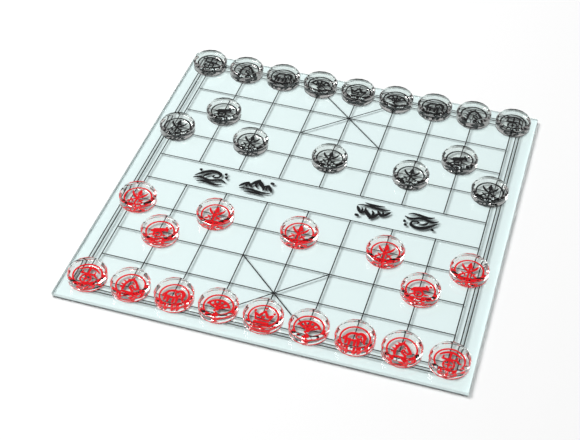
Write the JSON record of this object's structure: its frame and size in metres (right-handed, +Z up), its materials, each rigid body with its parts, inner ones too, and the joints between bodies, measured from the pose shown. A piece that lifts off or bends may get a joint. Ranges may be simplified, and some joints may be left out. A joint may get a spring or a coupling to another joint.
{
  "type": "chess set with board",
  "caption": "Glass elephant-chess set: ruled square-cornered glass board with clear bevelled discs on its line crossings, painted emblems under each disc.",
  "frame": {"origin": "centre of the board, on the surface it stands on", "axes": "+X along the ranks to the red player's right, +Y along the files towards the black player, +Z up"},
  "size_m": [0.35, 0.358, 0.0162],
  "materials": {
    "board_glass": "polished clear float glass, faintly green",
    "frosted_coat": "frosted enamel coat",
    "black_print": "screen-printed ink",
    "pad": "translucent soft pad",
    "red_disc_glass": "polished clear glass, red paint in the underside",
    "black_disc_glass": "polished clear glass, black paint in the underside",
    "red_paint": "paint filled into an engraving",
    "black_paint": "paint filled into an engraving"
  },
  "bodies": {
    "board": {"board_glass": "board_glass", "frosted_coat": "frosted_coat", "pad_front_left": "pad", "pad_front_right": "pad", "pad_rear_left": "pad", "pad_rear_right": "pad", "printed_border": "black_print", "printed_grid": "black_print", "river_marks_left": "black_print", "river_marks_right": "black_print"},
    "black_advisor_left": {"black_advisor_left": "black_disc_glass"},
    "black_advisor_right": {"black_advisor_right": "black_disc_glass"},
    "black_cannon_left": {"black_cannon_left": "black_disc_glass"},
    "black_cannon_right": {"black_cannon_right": "black_disc_glass"},
    "black_chariot_left": {"black_chariot_left": "black_disc_glass"},
    "black_chariot_right": {"black_chariot_right": "black_disc_glass"},
    "black_elephant_left": {"black_elephant_left": "black_disc_glass"},
    "black_elephant_right": {"black_elephant_right": "black_disc_glass"},
    "black_general": {"black_general": "black_disc_glass"},
    "black_horse_left": {"black_horse_left": "black_disc_glass"},
    "black_horse_right": {"black_horse_right": "black_disc_glass"},
    "black_soldier_1": {"black_soldier_1": "black_disc_glass"},
    "black_soldier_2": {"black_soldier_2": "black_disc_glass"},
    "black_soldier_3": {"black_soldier_3": "black_disc_glass"},
    "black_soldier_4": {"black_soldier_4": "black_disc_glass"},
    "black_soldier_5": {"black_soldier_5": "black_disc_glass"},
    "red_advisor_left": {"red_advisor_left": "red_disc_glass"},
    "red_advisor_right": {"red_advisor_right": "red_disc_glass"},
    "red_cannon_left": {"red_cannon_left": "red_disc_glass"},
    "red_cannon_right": {"red_cannon_right": "red_disc_glass"},
    "red_chariot_left": {"red_chariot_left": "red_disc_glass"},
    "red_chariot_right": {"red_chariot_right": "red_disc_glass"},
    "red_elephant_left": {"red_elephant_left": "red_disc_glass"},
    "red_elephant_right": {"red_elephant_right": "red_disc_glass"},
    "red_general": {"red_general": "red_disc_glass"},
    "red_horse_left": {"red_horse_left": "red_disc_glass"},
    "red_horse_right": {"red_horse_right": "red_disc_glass"},
    "red_soldier_1": {"red_soldier_1": "red_disc_glass"},
    "red_soldier_2": {"red_soldier_2": "red_disc_glass"},
    "red_soldier_3": {"red_soldier_3": "red_disc_glass"},
    "red_soldier_4": {"red_soldier_4": "red_disc_glass"},
    "red_soldier_5": {"red_soldier_5": "red_disc_glass"}
  },
  "joints": [
    {"name": "black_advisor_left_lift", "type": "slide", "parent": "board", "child": "black_advisor_left", "axis": [0, 0, 1], "range_m": [0, 0.04]},
    {"name": "black_advisor_right_lift", "type": "slide", "parent": "board", "child": "black_advisor_right", "axis": [0, 0, 1], "range_m": [0, 0.04]},
    {"name": "black_cannon_left_lift", "type": "slide", "parent": "board", "child": "black_cannon_left", "axis": [0, 0, 1], "range_m": [0, 0.04]},
    {"name": "black_cannon_right_lift", "type": "slide", "parent": "board", "child": "black_cannon_right", "axis": [0, 0, 1], "range_m": [0, 0.04]},
    {"name": "black_chariot_left_lift", "type": "slide", "parent": "board", "child": "black_chariot_left", "axis": [0, 0, 1], "range_m": [0, 0.04]},
    {"name": "black_chariot_right_lift", "type": "slide", "parent": "board", "child": "black_chariot_right", "axis": [0, 0, 1], "range_m": [0, 0.04]},
    {"name": "black_elephant_left_lift", "type": "slide", "parent": "board", "child": "black_elephant_left", "axis": [0, 0, 1], "range_m": [0, 0.04]},
    {"name": "black_elephant_right_lift", "type": "slide", "parent": "board", "child": "black_elephant_right", "axis": [0, 0, 1], "range_m": [0, 0.04]},
    {"name": "black_general_lift", "type": "slide", "parent": "board", "child": "black_general", "axis": [0, 0, 1], "range_m": [0, 0.04]},
    {"name": "black_horse_left_lift", "type": "slide", "parent": "board", "child": "black_horse_left", "axis": [0, 0, 1], "range_m": [0, 0.04]},
    {"name": "black_horse_right_lift", "type": "slide", "parent": "board", "child": "black_horse_right", "axis": [0, 0, 1], "range_m": [0, 0.04]},
    {"name": "black_soldier_1_lift", "type": "slide", "parent": "board", "child": "black_soldier_1", "axis": [0, 0, 1], "range_m": [0, 0.04]},
    {"name": "black_soldier_2_lift", "type": "slide", "parent": "board", "child": "black_soldier_2", "axis": [0, 0, 1], "range_m": [0, 0.04]},
    {"name": "black_soldier_3_lift", "type": "slide", "parent": "board", "child": "black_soldier_3", "axis": [0, 0, 1], "range_m": [0, 0.04]},
    {"name": "black_soldier_4_lift", "type": "slide", "parent": "board", "child": "black_soldier_4", "axis": [0, 0, 1], "range_m": [0, 0.04]},
    {"name": "black_soldier_5_lift", "type": "slide", "parent": "board", "child": "black_soldier_5", "axis": [0, 0, 1], "range_m": [0, 0.04]},
    {"name": "red_advisor_left_lift", "type": "slide", "parent": "board", "child": "red_advisor_left", "axis": [0, 0, 1], "range_m": [0, 0.04]},
    {"name": "red_advisor_right_lift", "type": "slide", "parent": "board", "child": "red_advisor_right", "axis": [0, 0, 1], "range_m": [0, 0.04]},
    {"name": "red_cannon_left_lift", "type": "slide", "parent": "board", "child": "red_cannon_left", "axis": [0, 0, 1], "range_m": [0, 0.04]},
    {"name": "red_cannon_right_lift", "type": "slide", "parent": "board", "child": "red_cannon_right", "axis": [0, 0, 1], "range_m": [0, 0.04]},
    {"name": "red_chariot_left_lift", "type": "slide", "parent": "board", "child": "red_chariot_left", "axis": [0, 0, 1], "range_m": [0, 0.04]},
    {"name": "red_chariot_right_lift", "type": "slide", "parent": "board", "child": "red_chariot_right", "axis": [0, 0, 1], "range_m": [0, 0.04]},
    {"name": "red_elephant_left_lift", "type": "slide", "parent": "board", "child": "red_elephant_left", "axis": [0, 0, 1], "range_m": [0, 0.04]},
    {"name": "red_elephant_right_lift", "type": "slide", "parent": "board", "child": "red_elephant_right", "axis": [0, 0, 1], "range_m": [0, 0.04]},
    {"name": "red_general_lift", "type": "slide", "parent": "board", "child": "red_general", "axis": [0, 0, 1], "range_m": [0, 0.04]},
    {"name": "red_horse_left_lift", "type": "slide", "parent": "board", "child": "red_horse_left", "axis": [0, 0, 1], "range_m": [0, 0.04]},
    {"name": "red_horse_right_lift", "type": "slide", "parent": "board", "child": "red_horse_right", "axis": [0, 0, 1], "range_m": [0, 0.04]},
    {"name": "red_soldier_1_lift", "type": "slide", "parent": "board", "child": "red_soldier_1", "axis": [0, 0, 1], "range_m": [0, 0.04]},
    {"name": "red_soldier_2_lift", "type": "slide", "parent": "board", "child": "red_soldier_2", "axis": [0, 0, 1], "range_m": [0, 0.04]},
    {"name": "red_soldier_3_lift", "type": "slide", "parent": "board", "child": "red_soldier_3", "axis": [0, 0, 1], "range_m": [0, 0.04]},
    {"name": "red_soldier_4_lift", "type": "slide", "parent": "board", "child": "red_soldier_4", "axis": [0, 0, 1], "range_m": [0, 0.04]},
    {"name": "red_soldier_5_lift", "type": "slide", "parent": "board", "child": "red_soldier_5", "axis": [0, 0, 1], "range_m": [0, 0.04]}
  ]
}
